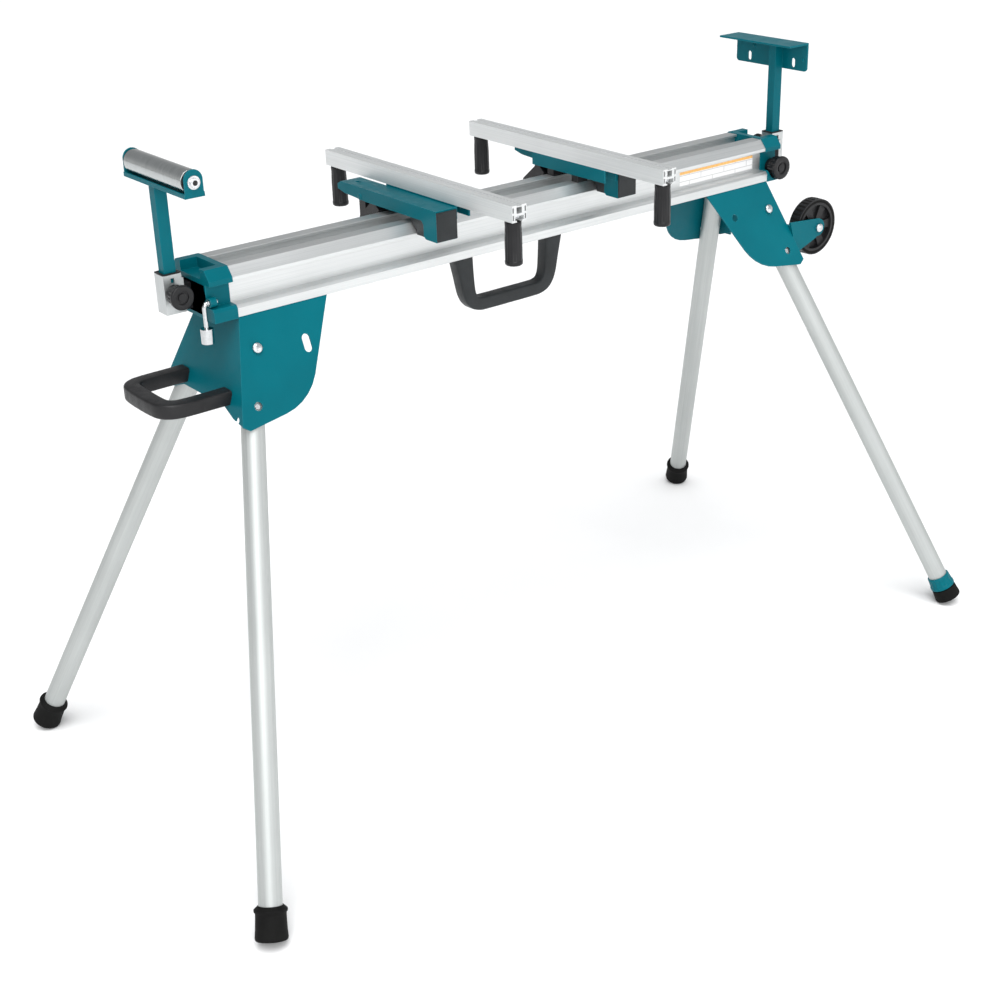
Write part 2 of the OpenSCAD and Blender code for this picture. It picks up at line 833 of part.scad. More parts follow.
module foot() {
  color(black) leg_frame() translate([0, 0, -leg_len]) difference() {
    union() {
      cylinder(h = foot_len - 8, r = foot_d / 2);
      translate([0, 0, foot_len - 8]) cylinder(h = 8, r1 = foot_d / 2, r2 = leg_d / 2 + 3.5);
    }
    translate([0, 0, 7]) cylinder(h = foot_len, r = leg_d / 2 + run);
  }
}

// Foot on a stem that slides in its tube, for uneven floors: a pad and, standing
// on it, the stem
module adjustable_foot() {
  pad = 22;
  stem = 68;
  color(black) leg_frame() translate([0, 0, -leg_len]) {
    cylinder(h = pad, r = foot_d / 2);
    translate([0, 0, pad + run]) cylinder(h = stem, r = leg_d / 2 - leg_wall - 0.1);
  }
}

// Twist ring that locks the adjustable foot's stem
module adjuster_collar() {
  color(teal) leg_frame() translate([0, 0, 23 - leg_len]) difference() {
    cylinder(h = 23, r1 = foot_d / 2 - 1, r2 = leg_d / 2 + 2);
    translate([0, 0, -cut]) cylinder(h = 30, r = leg_d / 2 + run);
  }
}

// Spring button behind the lock hole of the side plate
module lock_button() {
  tip = plate_t + gap - leg_depth;
  color(steel) leg_frame() {
    rod_y(0, tip + 1.2, -lock_r, button_r, 12);
    rod_y(0, tip, -lock_r, button_r - 1.2, 2);
  }
}

module leg_front_left() { corner(-1, -1) leg_tube(8); }
module leg_rear_left() { corner(-1, 1) leg_tube(8); }
module leg_front_right() { corner(1, -1) leg_tube(24); }
module leg_rear_right() { corner(1, 1) leg_tube(8); }
module foot_front_left() { corner(-1, -1) foot(); }
module foot_rear_left() { corner(-1, 1) foot(); }
module foot_front_right() { corner(1, -1) adjustable_foot(); }
module foot_rear_right() { corner(1, 1) foot(); }
module button_front_left() { corner(-1, -1) lock_button(); }
module button_rear_left() { corner(-1, 1) lock_button(); }
module button_front_right() { corner(1, -1) lock_button(); }
module button_rear_right() { corner(1, 1) lock_button(); }

// ---------------------------------------------------------------- nodes

beam();
at_end(-1) end_cap();  // end_cap_left
at_end(1) end_cap();  // end_cap_right
arm_guides();
corner(-1, -1) leg_bracket(true);  // leg_bracket_left
corner(1, -1) leg_bracket(false);  // leg_bracket_right
wheel_arms();
frame_bolts();
carry_handle();
drag_handle();
at_end(-1) extension_tube();  // extension_tube_left
at_end(1) extension_tube();  // extension_tube_right
at_end(-1) post_socket();  // post_socket_left
at_end(1) post_socket();  // post_socket_right
roller_support();
roller_axle();
roller_tube();
roller_caps();
stop_support();
at_end(-1) post_knob();  // post_knob_left
at_end(1) post_knob();  // post_knob_right
at_end(-1) arm_knob();  // arm_knob_left
at_end(1) arm_knob();  // arm_knob_right
at_end(-1) cam_lever();  // cam_lever_left
at_end(1) cam_lever();  // cam_lever_right
rail_left();
rail_right();
saddle_left();
saddle_right();
saddle_pads_left();
saddle_pads_right();
saddle_pins_left();
saddle_pins_right();
clamp_lever_left();
clamp_lever_right();
lever_pads_left();
lever_pads_right();
rail_frame(-1) tee_bolt(-clamp_y);  // tee_bolt_left_front
rail_frame(-1) tee_bolt(clamp_y);  // tee_bolt_left_rear
rail_frame(1) tee_bolt(-clamp_y);  // tee_bolt_right_front
rail_frame(1) tee_bolt(clamp_y);  // tee_bolt_right_rear
rail_frame(-1) clamp_knob(-clamp_y);  // clamp_knob_left_front
rail_frame(-1) clamp_knob(clamp_y);  // clamp_knob_left_rear
rail_frame(1) clamp_knob(-clamp_y);  // clamp_knob_right_front
rail_frame(1) clamp_knob(clamp_y);  // clamp_knob_right_rear
leg_front_left();
leg_rear_left();
leg_front_right();
leg_rear_right();
foot_front_left();
foot_rear_left();
foot_front_right();
foot_rear_right();
adjuster_collar();
button_front_left();
button_rear_left();
button_front_right();
button_rear_right();
wheel_front();
wheel_rear();
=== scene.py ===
"""Looks of a folding mitre saw stand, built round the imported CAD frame.

Metres, but new pieces are drawn in millimetres. X runs along the beam, the user stands on the -Y side,
Z is up and the floor is Z = 0.
"""
import json
import math

import bpy
from mathutils import Matrix, Vector


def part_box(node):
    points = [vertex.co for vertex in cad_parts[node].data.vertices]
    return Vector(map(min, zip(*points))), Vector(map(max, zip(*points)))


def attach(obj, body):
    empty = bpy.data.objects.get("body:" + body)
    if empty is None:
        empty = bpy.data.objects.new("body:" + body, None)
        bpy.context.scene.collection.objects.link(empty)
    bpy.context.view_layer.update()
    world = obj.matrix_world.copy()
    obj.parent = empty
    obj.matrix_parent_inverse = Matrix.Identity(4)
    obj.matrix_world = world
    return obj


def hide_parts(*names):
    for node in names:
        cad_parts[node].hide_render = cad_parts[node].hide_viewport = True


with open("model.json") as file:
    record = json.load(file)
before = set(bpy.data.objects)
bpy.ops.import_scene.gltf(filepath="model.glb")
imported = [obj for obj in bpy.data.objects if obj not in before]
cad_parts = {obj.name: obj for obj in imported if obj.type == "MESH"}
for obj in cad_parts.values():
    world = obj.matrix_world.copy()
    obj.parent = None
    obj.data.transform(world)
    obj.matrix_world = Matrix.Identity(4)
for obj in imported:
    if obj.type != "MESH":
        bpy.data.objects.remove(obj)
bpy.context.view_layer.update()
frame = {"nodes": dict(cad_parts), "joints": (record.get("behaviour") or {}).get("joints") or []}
nodes = frame["nodes"]
joints = {j["name"]: j for j in frame["joints"]}

MM = 0.001

# Signs of X and Y for the legs, of X for the left and right halves, and of Y for front and rear
CORNERS = {"front_left": (-1, -1), "rear_left": (-1, 1), "front_right": (1, -1), "rear_right": (1, 1)}
SIDES = {"left": -1, "right": 1}
ENDS = {"front": -1, "rear": 1}

# Camera: place in metres, turn about Z, tilt down and roll in degrees, lens in millimetres
CAMERA_PLACE = (-1.4802, -1.8599, 1.4303)
CAMERA_YAW = 37.86
CAMERA_PITCH = 25.42
CAMERA_ROLL = -1.69
CAMERA_LENS = 58.59

# Half of the floor's side, and the point that the lamps look at, in metres
FLOOR_HALF = 12.0
LIT_POINT = (0, 0, 0.7)


# ---------------------------------------------------------------- camera and light

def aim(obj, forward, roll=0.0):
    """Points obj's -Z along forward, with its Y up, then rolls it about its own view axis."""
    rotation = Vector(forward).to_track_quat("-Z", "Y").to_matrix().to_4x4()
    obj.matrix_world = Matrix.Translation(obj.location) @ rotation @ Matrix.Rotation(roll, 4, "Z")


def make_camera():
    yaw, pitch, roll = (math.radians(turn) for turn in (CAMERA_YAW, CAMERA_PITCH, CAMERA_ROLL))
    data = bpy.data.cameras.new("camera")
    data.sensor_width = 36
    data.lens = CAMERA_LENS
    data.clip_start = 0.05
    data.clip_end = 50
    camera = bpy.data.objects.new("camera", data)
    bpy.context.scene.collection.objects.link(camera)
    camera.location = CAMERA_PLACE
    forward = (math.sin(yaw) * math.cos(pitch), math.cos(yaw) * math.cos(pitch), -math.sin(pitch))
    aim(camera, forward, roll)
    bpy.context.scene.camera = camera


def area_light(name, place, size, watts):
    """Rectangular lamp that looks at the middle of the stand."""
    data = bpy.data.lights.new(name, "AREA")
    data.shape = "RECTANGLE"
    data.size, data.size_y = size
    data.energy = watts
    lamp = bpy.data.objects.new(name, data)
    bpy.context.scene.collection.objects.link(lamp)
    lamp.location = place
    aim(lamp, Vector(LIT_POINT) - Vector(place))


def overhead_light():
    """Wide soft light from above, like a studio ceiling."""
    data = bpy.data.lights.new("overhead", "SUN")
    data.energy = 2.4
    data.angle = math.radians(45)
    lamp = bpy.data.objects.new("overhead", data)
    bpy.context.scene.collection.objects.link(lamp)
    aim(lamp, (0.25, 0.35, -1))


def make_studio():
    """World that is white in front and greyer above and behind, so that metal has something to mirror."""
    scene = bpy.context.scene
    scene.view_settings.view_transform = "Standard"
    world = bpy.data.worlds.new("studio")
    scene.world = world
    world.use_nodes = True
    tree = world.node_tree
    background = tree.nodes["Background"]
    background.inputs["Strength"].default_value = 1.0
    coords = tree.nodes.new("ShaderNodeTexCoord")
    split = tree.nodes.new("ShaderNodeSeparateXYZ")
    tree.links.new(coords.outputs["Generated"], split.inputs[0])
    sky = ramp_node(tree, split.outputs["Z"], [
        (0.0, (1, 1, 1)), (0.1, (0.98, 0.98, 0.98)), (0.35, (0.62, 0.63, 0.64)), (0.8, (0.52, 0.53, 0.54)),
    ])
    behind = ramp_node(tree, split.outputs["Y"], [(0.0, (1, 1, 1)), (0.5, (0.62, 0.62, 0.62))])
    light = mix_node(tree, 1.0, sky.outputs[0], behind.outputs[0], "MULTIPLY")
    tree.links.new(light, background.inputs["Color"])
    area_light("key", (-2.2, -3.2, 2.2), (2.6, 1.8), 60)
    area_light("front", (1.6, -3.4, 1.0), (2.4, 1.6), 12)
    overhead_light()


def make_floor():
    mesh = bpy.data.meshes.new("floor")
    corners = [(x * FLOOR_HALF, y * FLOOR_HALF, 0) for x, y in ((-1, -1), (1, -1), (1, 1), (-1, 1))]
    mesh.from_pydata(corners, [], [(0, 1, 2, 3)])
    floor = bpy.data.objects.new("floor", mesh)
    bpy.context.scene.collection.objects.link(floor)
    material, tree, shader = new_material("floor_paper")
    shader.inputs["Roughness"].default_value = 0.9
    noise = noise_node(tree, 3.0, 3)
    ramp = ramp_node(tree, noise.outputs["Fac"], [(0.3, (0.90, 0.90, 0.90)), (0.7, (0.93, 0.93, 0.93))])
    tree.links.new(ramp.outputs[0], shader.inputs["Base Color"])
    floor.data.materials.append(material)


# ---------------------------------------------------------------- material building blocks

def new_material(name):
    material = bpy.data.materials.new(name)
    material.use_nodes = True
    tree = material.node_tree
    return material, tree, tree.nodes["Principled BSDF"]


def coords_node(tree, stretch=(1, 1, 1), turn=(0, 0, 0)):
    """Object coordinates, which are the row frame's, scaled by stretch after a turn."""
    coords = tree.nodes.new("ShaderNodeTexCoord")
    rotate = tree.nodes.new("ShaderNodeMapping")
    rotate.inputs["Rotation"].default_value = turn
    tree.links.new(coords.outputs["Object"], rotate.inputs["Vector"])
    scale = tree.nodes.new("ShaderNodeMapping")
    scale.inputs["Scale"].default_value = stretch
    tree.links.new(rotate.outputs["Vector"], scale.inputs["Vector"])
    return scale.outputs["Vector"]


def noise_node(tree, scale, detail=2, stretch=(1, 1, 1), turn=(0, 0, 0), rough=0.5):
    noise = tree.nodes.new("ShaderNodeTexNoise")
    noise.inputs["Scale"].default_value = scale
    noise.inputs["Detail"].default_value = detail
    noise.inputs["Roughness"].default_value = rough
    tree.links.new(coords_node(tree, stretch, turn), noise.inputs["Vector"])
    return noise


def ramp_node(tree, factor, stops):
    ramp = tree.nodes.new("ShaderNodeValToRGB")
    elements = ramp.color_ramp.elements
    while len(elements) < len(stops):
        elements.new(0.5)
    for element, (position, colour) in zip(elements, stops):
        element.position = position
        element.color = (*colour, 1)
    tree.links.new(factor, ramp.inputs[0])
    return ramp


def range_node(tree, value, low, high, to_low, to_high):
    node = tree.nodes.new("ShaderNodeMapRange")
    for name, number in zip(("From Min", "From Max", "To Min", "To Max"), (low, high, to_low, to_high)):
        node.inputs[name].default_value = number
    tree.links.new(value, node.inputs["Value"])
    return node.outputs[0]


def bump_node(tree, height, distance, strength):
    bump = tree.nodes.new("ShaderNodeBump")
    bump.inputs["Distance"].default_value = distance
    bump.inputs["Strength"].default_value = strength
    tree.links.new(height, bump.inputs["Height"])
    return bump.outputs["Normal"]


def mix_node(tree, factor, first, second, blend="MIX"):
    """Colour mix; first and second are sockets or colours."""
    mix = tree.nodes.new("ShaderNodeMix")
    mix.data_type = "RGBA"
    mix.blend_type = blend
    if isinstance(factor, (int, float)):
        mix.inputs["Factor"].default_value = factor
    else:
        tree.links.new(factor, mix.inputs["Factor"])
    for socket, value in ((mix.inputs[6], first), (mix.inputs[7], second)):
        if isinstance(value, tuple):
            socket.default_value = (*value, 1)
        else:
            tree.links.new(value, socket)
    return mix.outputs[2]


def edge_highlight_mask(tree, radius, low, high):
    """0 on flat faces, rising to 1 where the surface turns within radius: the edges that get a painted
    highlight.
    """
    bevel = tree.nodes.new("ShaderNodeBevel")
    bevel.samples = 4
    bevel.inputs["Radius"].default_value = radius
    geometry = tree.nodes.new("ShaderNodeNewGeometry")
    dot = tree.nodes.new("ShaderNodeVectorMath")
    dot.operation = "DOT_PRODUCT"
    tree.links.new(bevel.outputs[0], dot.inputs[0])
    tree.links.new(geometry.outputs["Normal"], dot.inputs[1])
    return range_node(tree, dot.outputs["Value"], 1 - low, 1 - high, 0.0, 1.0)


# ---------------------------------------------------------------- materials

# Height at which the sticker's orange band starts
STICKER_BAND = 0.7805


def painted_metal(name, deep, light):
    """Powder coat: orange peel, slow colour drift, and a painted highlight that makes the coat paler along the
    edges.
    """
    material, tree, shader = new_material(name)
    drift = ramp_node(tree, noise_node(tree, 9, 3).outputs["Fac"], [(0.3, deep), (0.7, light)]).outputs[0]
    # Painted highlight: a paler coat colour mixed in along the edges
    edge_highlight_coat = tuple(min(1.0, c * 1.5 + 0.02) for c in light)
    coat = mix_node(tree, edge_highlight_mask(tree, 0.0012, 0.02, 0.3), drift, edge_highlight_coat)
    tree.links.new(coat, shader.inputs["Base Color"])
    peel = noise_node(tree, 520, 2)
    rough = range_node(tree, noise_node(tree, 60, 4).outputs["Fac"], 0.3, 0.7, 0.30, 0.42)
    tree.links.new(rough, shader.inputs["Roughness"])
    tree.links.new(bump_node(tree, peel.outputs["Fac"], 0.0003, 0.35), shader.inputs["Normal"])
    shader.inputs["Specular IOR Level"].default_value = 0.09
    return material


def drawn_aluminium(name, stretch, turn=(0, 0, 0), deep=(0.60, 0.62, 0.62), light=(0.74, 0.75, 0.75),
                    rough=0.34, metallic=0.92):
    """Satin anodised aluminium with die lines along one axis; stretch is small along the lines."""
    material, tree, shader = new_material(name)
    lines = noise_node(tree, 1.0, 4, stretch, turn, 0.65)
    cloud = noise_node(tree, 7, 3)
    tone = ramp_node(tree, lines.outputs["Fac"], [(0.25, deep), (0.75, light)]).outputs[0]
    cloudy = ramp_node(tree, cloud.outputs["Fac"], [(0.3, (0.93, 0.93, 0.93)), (0.7, (1, 1, 1))]).outputs[0]
    tree.links.new(mix_node(tree, 1.0, tone, cloudy, "MULTIPLY"), shader.inputs["Base Color"])
    shader.inputs["Metallic"].default_value = metallic
    roughness = range_node(tree, lines.outputs["Fac"], 0.2, 0.8, rough, rough + 0.16)
    tree.links.new(roughness, shader.inputs["Roughness"])
    tree.links.new(bump_node(tree, lines.outputs["Fac"], 0.0001, 0.30), shader.inputs["Normal"])
    return material


def plated_steel(name, deep, light, roughness, stretch=(400, 400, 400)):
    """Bright metal whose fine grain changes its tone and polish."""
    material, tree, shader = new_material(name)
    grain = noise_node(tree, 1.0, 3, stretch)
    tone = ramp_node(tree, grain.outputs["Fac"], [(0.3, deep), (0.7, light)])
    tree.links.new(tone.outputs[0], shader.inputs["Base Color"])
    shader.inputs["Metallic"].default_value = 1.0
    tree.links.new(range_node(tree, grain.outputs["Fac"], 0.25, 0.75, roughness * 0.75, roughness * 1.25),
                   shader.inputs["Roughness"])
    tree.links.new(bump_node(tree, grain.outputs["Fac"], 0.0001, 0.15), shader.inputs["Normal"])
    return material


def moulded_plastic(name, deep, light, roughness, grain=0.4):
    """Spark-eroded plastic skin, with a painted highlight that makes its edges a little paler."""
    material, tree, shader = new_material(name)
    tone = ramp_node(tree, noise_node(tree, 30, 3).outputs["Fac"], [(0.3, deep), (0.7, light)]).outputs[0]
    # Painted highlight: a paler tone mixed in along the edges
    edge_highlight_tone = tuple(c * 1.6 + 0.01 for c in light)
    tone_and_edge_highlight = mix_node(tree, edge_highlight_mask(tree, 0.0015, 0.03, 0.4), tone, edge_highlight_tone)
    tree.links.new(tone_and_edge_highlight, shader.inputs["Base Color"])
    cells = tree.nodes.new("ShaderNodeTexVoronoi")
    cells.inputs["Scale"].default_value = 1100
    tree.links.new(coords_node(tree), cells.inputs["Vector"])
    sheen = noise_node(tree, 90, 3).outputs["Fac"]
    tree.links.new(range_node(tree, sheen, 0.3, 0.7, roughness - 0.07, roughness + 0.07),
                   shader.inputs["Roughness"])
    tree.links.new(bump_node(tree, cells.outputs["Distance"], 0.0003, grain), shader.inputs["Normal"])
    shader.inputs["Specular IOR Level"].default_value = 0.32
    return material


def rubber(name, deep, light):
    """Matt moulded rubber with a dusty bloom."""
    material, tree, shader = new_material(name)
    bloom = noise_node(tree, 45, 5, rough=0.7)
    tone = ramp_node(tree, bloom.outputs["Fac"], [(0.35, deep), (0.75, light)])
    tree.links.new(tone.outputs[0], shader.inputs["Base Color"])
    tree.links.new(range_node(tree, bloom.outputs["Fac"], 0.3, 0.7, 0.62, 0.85), shader.inputs["Roughness"])
    shader.inputs["Specular IOR Level"].default_value = 0.12
    pores = noise_node(tree, 900, 2)
    tree.links.new(bump_node(tree, pores.outputs["Fac"], 0.0003, 0.4), shader.inputs["Normal"])
    return material


def sticker(name):
    """Pale foil with a thin orange band along its top and faint boxes below, without any lettering."""
    material, tree, shader = new_material(name)
    coords = tree.nodes.new("ShaderNodeTexCoord")
    split = tree.nodes.new("ShaderNodeSeparateXYZ")
    tree.links.new(coords.outputs["Object"], split.inputs[0])
    band = range_node(tree, split.outputs["Z"], STICKER_BAND, STICKER_BAND + 0.0003, 0.0, 1.0)
    boxes = tree.nodes.new("ShaderNodeTexBrick")
    sizes = {"Scale": 1.0, "Mortar Size": 0.0007, "Brick Width": 0.052, "Row Height": 0.0095}
    for socket, value in sizes.items():
        boxes.inputs[socket].default_value = value
    greys = {"Color1": 0.86, "Color2": 0.80, "Mortar": 0.55}
    for socket, value in greys.items():
        boxes.inputs[socket].default_value = (value, value, value, 1)
    flat = tree.nodes.new("ShaderNodeCombineXYZ")
    tree.links.new(split.outputs["X"], flat.inputs["X"])
    tree.links.new(split.outputs["Z"], flat.inputs["Y"])
    tree.links.new(flat.outputs[0], boxes.inputs["Vector"])
    grain = noise_node(tree, 300, 2)
    orange = ramp_node(tree, grain.outputs["Fac"], [(0.3, (0.85, 0.42, 0.10)), (0.7, (0.95, 0.55, 0.18))])
    print_colour = mix_node(tree, band, boxes.outputs["Color"], orange.outputs[0])
    tree.links.new(print_colour, shader.inputs["Base Color"])
    tree.links.new(range_node(tree, grain.outputs["Fac"], 0.3, 0.7, 0.35, 0.5), shader.inputs["Roughness"])
    return material


# The adjustable foot slides down along its leg
foot_axis = Vector(joints["extend_foot"]["axis"])


def leg_direction(corner):
    """Unit vector down a leg: the four legs mirror one another."""
    side_x, side_y = CORNERS[corner]
    return Vector((side_x * abs(foot_axis.x), side_y * abs(foot_axis.y), foot_axis.z)).normalized()


def make_materials():
    made = {
        "teal": painted_metal("teal_powder_coat", (0.0, 0.100, 0.128), (0.0, 0.119, 0.150)),
        "beam": drawn_aluminium("aluminium_beam", (3, 900, 900)),
        "rail": drawn_aluminium("aluminium_rail", (900, 3, 900), metallic=0.55),
        "cast": drawn_aluminium("aluminium_socket", (500, 500, 8),
                                deep=(0.50, 0.52, 0.52), light=(0.63, 0.65, 0.65)),
        "tube": painted_metal("black_tube_coat", (0.012, 0.012, 0.013), (0.02, 0.02, 0.022)),
        "zinc": plated_steel("zinc_plate", (0.58, 0.59, 0.60), (0.72, 0.73, 0.75), 0.28),
        "chrome": plated_steel("chrome_plate", (0.50, 0.51, 0.52), (0.60, 0.61, 0.62), 0.12),
        "roller": plated_steel("turned_steel", (0.40, 0.42, 0.42), (0.56, 0.58, 0.58), 0.22, (60, 1400, 60)),
        "grey": moulded_plastic("grey_plastic", (0.010, 0.012, 0.013), (0.017, 0.020, 0.022), 0.44),
        "black": moulded_plastic("black_plastic", (0.007, 0.007, 0.008), (0.012, 0.012, 0.013), 0.42),
        "glossy": moulded_plastic("knob_plastic", (0.005, 0.005, 0.006), (0.009, 0.009, 0.010), 0.36, 0.14),
        "sticker": sticker("label_foil"),
        "rubber": rubber("black_rubber", (0.003, 0.003, 0.003), (0.009, 0.009, 0.0085)),
    }
    for corner in CORNERS:
        turn = leg_direction(corner).rotation_difference(Vector((0, 0, 1))).to_euler()
        made["leg_" + corner] = drawn_aluminium("aluminium_leg_" + corner, (500, 500, 4), tuple(turn),
                                                (0.46, 0.48, 0.475), (0.57, 0.59, 0.58), 0.48)
    return made


make_camera()
make_studio()
make_floor()
MATERIALS = make_materials()


# ---------------------------------------------------------------- CAD nodes that stay

def paint(obj, key):
    obj.data.materials.clear()
    obj.data.materials.append(MATERIALS[key])


# Nodes whose end faces have slots near their edges: faces aren't merged before the edges are rounded
SLOTTED = ("rail_left", "rail_right")


def soften(node, key, width):
    """Gives a CAD node its material and rounds its sharp edges without touching its mesh."""
    obj = nodes[node]
    paint(obj, key)
    for polygon in obj.data.polygons:
        polygon.use_smooth = True
    if "custom_normal" in obj.data.attributes:
        obj.data.attributes.remove(obj.data.attributes["custom_normal"])
    weld = obj.modifiers.new("weld", "WELD")
    weld.merge_threshold = 0.01 * MM
    if node not in SLOTTED:
        flat = obj.modifiers.new("flat", "DECIMATE")
        flat.decimate_type = "DISSOLVE"
        flat.angle_limit = math.radians(0.5)
    bevel = obj.modifiers.new("bevel", "BEVEL")
    bevel.width = width
    bevel.segments = 2
    bevel.limit_method = "ANGLE"
    bevel.angle_limit = math.radians(32)
    bevel.use_clamp_overlap = True
    bevel.harden_normals = True
    bevel.miter_outer = "MITER_ARC"


# Material and edge radius in millimetres of each CAD node that is shown
softened = {
    "beam": ("beam", 0.6),
    "arm_guides": ("grey", 0.6),
    "wheel_arms": ("teal", 0.7),
    "frame_bolts": ("zinc", 0.8),
    "roller_support": ("teal", 0.8),
    "roller_axle": ("zinc", 0.8),
    "roller_tube": ("roller", 0.8),
    "roller_caps": ("black", 0.5),
    "stop_support": ("teal", 0.7),
    "wheel_front": ("black", 1.0),
    "wheel_rear": ("black", 1.0),
}
paired = {
    "end_cap_": ("teal", 1.2),
    "leg_bracket_": ("teal", 0.7),
    "extension_tube_": ("tube", 1.0),
    "post_socket_": ("cast", 1.2),
    "cam_lever_": ("chrome", 1.0),
    "rail_": ("rail", 0.2),
    "saddle_": ("teal", 0.7),
    "saddle_pads_": ("black", 0.8),
    "saddle_pins_": ("zinc", 0.5),
    "clamp_lever_": ("teal", 0.8),
    "lever_pads_": ("grey", 0.8),
}
for side in SIDES:
    for name, look in paired.items():
        softened[name + side] = look
    for end in ENDS:
        softened[f"tee_bolt_{side}_{end}"] = ("zinc", 0.6)
for corner in CORNERS:
    softened["leg_" + corner] = ("leg_" + corner, 0.6)
    softened["button_" + corner] = ("zinc", 0.5)
for node, (key, width) in softened.items():
    soften(node, key, width * MM)


# ---------------------------------------------------------------- building new pieces

# Angle in degrees above which an edge between two faces of a new piece looks sharp
SHARP_ANGLE = 38


def piece(name, geometry, key, body, replaced=()):
    """Makes a piece from (points, faces), in millimetres in the row frame, and lets it ride its body."""
    points, faces = geometry
    mesh = bpy.data.meshes.new(name)
    mesh.from_pydata([Vector(point) * MM for point in points], [], faces)
    for polygon in mesh.polygons:
        polygon.use_smooth = True
    mesh.set_sharp_from_angle(angle=math.radians(SHARP_ANGLE))
    obj = bpy.data.objects.new(name, mesh)
    bpy.context.scene.collection.objects.link(obj)
    paint(obj, key)
    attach(obj, body)
    if replaced:
        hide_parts(*replaced)


def skin(rings, closed=False):
    """Faces between rings of equal length, with flat ends unless the last ring meets the first."""
    size = len(rings[0])
    points = [point for ring in rings for point in ring]
    faces = []
    for i in range(len(rings) if closed else len(rings) - 1):
        low, high = i * size, (i + 1) % len(rings) * size
        for k in range(size):
            following = (k + 1) % size
            faces.append((low + k, low + following, high + following, high + k))
    if not closed:
        faces.append(tuple(reversed(range(size))))
        faces.append(tuple(range(len(points) - size, len(points))))
    return points, faces


def turned(profile, origin, axis, lobes=0, segments=48, closed=False):
    """A turned shape: profile holds (radius, height along axis, depth of the lobes' hollows)."""
    axis = Vector(axis).normalized()
    side = axis.orthogonal().normalized()
    other = axis.cross(side)
    rings = []
    for radius, height, hollow in profile:
        ring = []
        for k in range(segments):
            angle = math.tau * k / segments
            reach = radius - hollow * (0.5 - 0.5 * math.cos(lobes * angle))
            outward = side * math.cos(angle) + other * math.sin(angle)
            ring.append(Vector(origin) + axis * height + outward * reach)
        rings.append(ring)
    return skin(rings, closed)


def spline(points, steps):
    """Smooth curve through the points; any further numbers, such as sizes, follow it."""
    curve = []
    for i in range(len(points) - 1):
        near = [points[min(max(j, 0), len(points) - 1)] for j in range(i - 1, i + 3)]
        for step in range(steps):
            t = step / steps
            curve.append([
                b + ((c - a) * t + (2 * a - 5 * b + 4 * c - d) * t ** 2 + (3 * b - a - 3 * c + d) * t ** 3) / 2
                for a, b, c, d in zip(*near)
            ])
    curve.append(list(points[-1]))
    return curve


def squared(value, power):
    """Pulls a cosine or sine outwards, so that a circle becomes a square with round corners."""
    return math.copysign(abs(value) ** (2 / power), value)


def swept(stations, normal, closed=False, round_power=4, segments=24):
    """Rounded bar along stations (x, y, z, width in the path's plane, height along normal)."""
    normal = Vector(normal).normalized()
    centres = [Vector(station[:3]) for station in stations]
    count = len(centres)
    rings = []
    for i, (centre, station) in enumerate(zip(centres, stations)):
        before = centres[i - 1] if i or closed else centre
        after = centres[(i + 1) % count] if i < count - 1 or closed else centre
        across = normal.cross((after - before).normalized()).normalized()
        ring = []
        for k in range(segments):
            angle = math.tau * k / segments
            wide, high = (squared(v, round_power) for v in (math.cos(angle), math.sin(angle)))
            ring.append(centre + across * wide * station[3] / 2 + normal * high * station[4] / 2)
        rings.append(ring)
    return skin(rings, closed)


def slab(low, high):
    """A box between two corners."""
    points = [(x, y, z) for x in (low[0], high[0]) for y in (low[1], high[1]) for z in (low[2], high[2])]
    return points, [(0, 1, 3, 2), (4, 6, 7, 5), (0, 4, 5, 1), (2, 3, 7, 6), (0, 2, 6, 4), (1, 5, 7, 3)]


def middle(node):
    """Middle of a CAD node's box, in millimetres."""
    low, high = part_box(node)
    return (Vector(low) + Vector(high)) / 2 / MM


def rectangle_ring(x, y, z, half_x, half_y, width, height):
    """Bar round a rectangle, for rims and weld beads."""
    corners = [(-half_x, -half_y), (half_x, -half_y), (half_x, half_y), (-half_x, half_y)]
    per_side = 6
    stations = []
    for i, (ax, ay) in enumerate(corners):
        bx, by = corners[(i + 1) % 4]
        for step in range(per_side):
            t = step / per_side
            stations.append((x + ax + (bx - ax) * t, y + ay + (by - ay) * t, z, width, height))
    return swept(stations, (0, 0, 1), closed=True, round_power=2.6, segments=12)


# ---------------------------------------------------------------- knobs

KNOB_RIBS = 18
BARREL_RIBS = 12

# How far the knobs' seats lie from the beam's middle plane
POST_KNOB_BASE = 12
ARM_KNOB_BASE = 37


def ribbed_knob(node, origin, axis, neck, head_start, head_end, radius):
    """Lock knob: a ribbed grip behind a plain front rim, with a dished middle and a screw cover."""
    rim_start = head_end - 5
    shank = [(neck * 0.8, 0.4, 0), (neck, 2, 0), (neck, head_start - 1.5, 0)]
    ribs = [
        (radius - 3.5, head_start, 0.4), (radius - 1.6, head_start + 0.8, 1.3),
        (radius - 1.2, rim_start - 0.6, 1.3), (radius - 0.4, rim_start, 0.2),
    ]
    rim = [
        (radius, rim_start + 0.8, 0), (radius, head_end - 1.6, 0),
        (radius - 0.5, head_end - 0.6, 0), (radius - 1.5, head_end, 0),
    ]
    dish = [
        (radius * 0.60, head_end + 0.2, 0), (radius * 0.53, head_end - 0.6, 0),
        (radius * 0.51, head_end - 2.6, 0), (radius * 0.36, head_end - 2.8, 0),
        (radius * 0.33, head_end - 1.4, 0), (radius * 0.24, head_end - 1.2, 0),
    ]
    geometry = turned(shank + ribs + rim + dish, origin, axis, KNOB_RIBS, KNOB_RIBS * 8)
    piece(node + "_grip", geometry, "glossy", node, (node,))


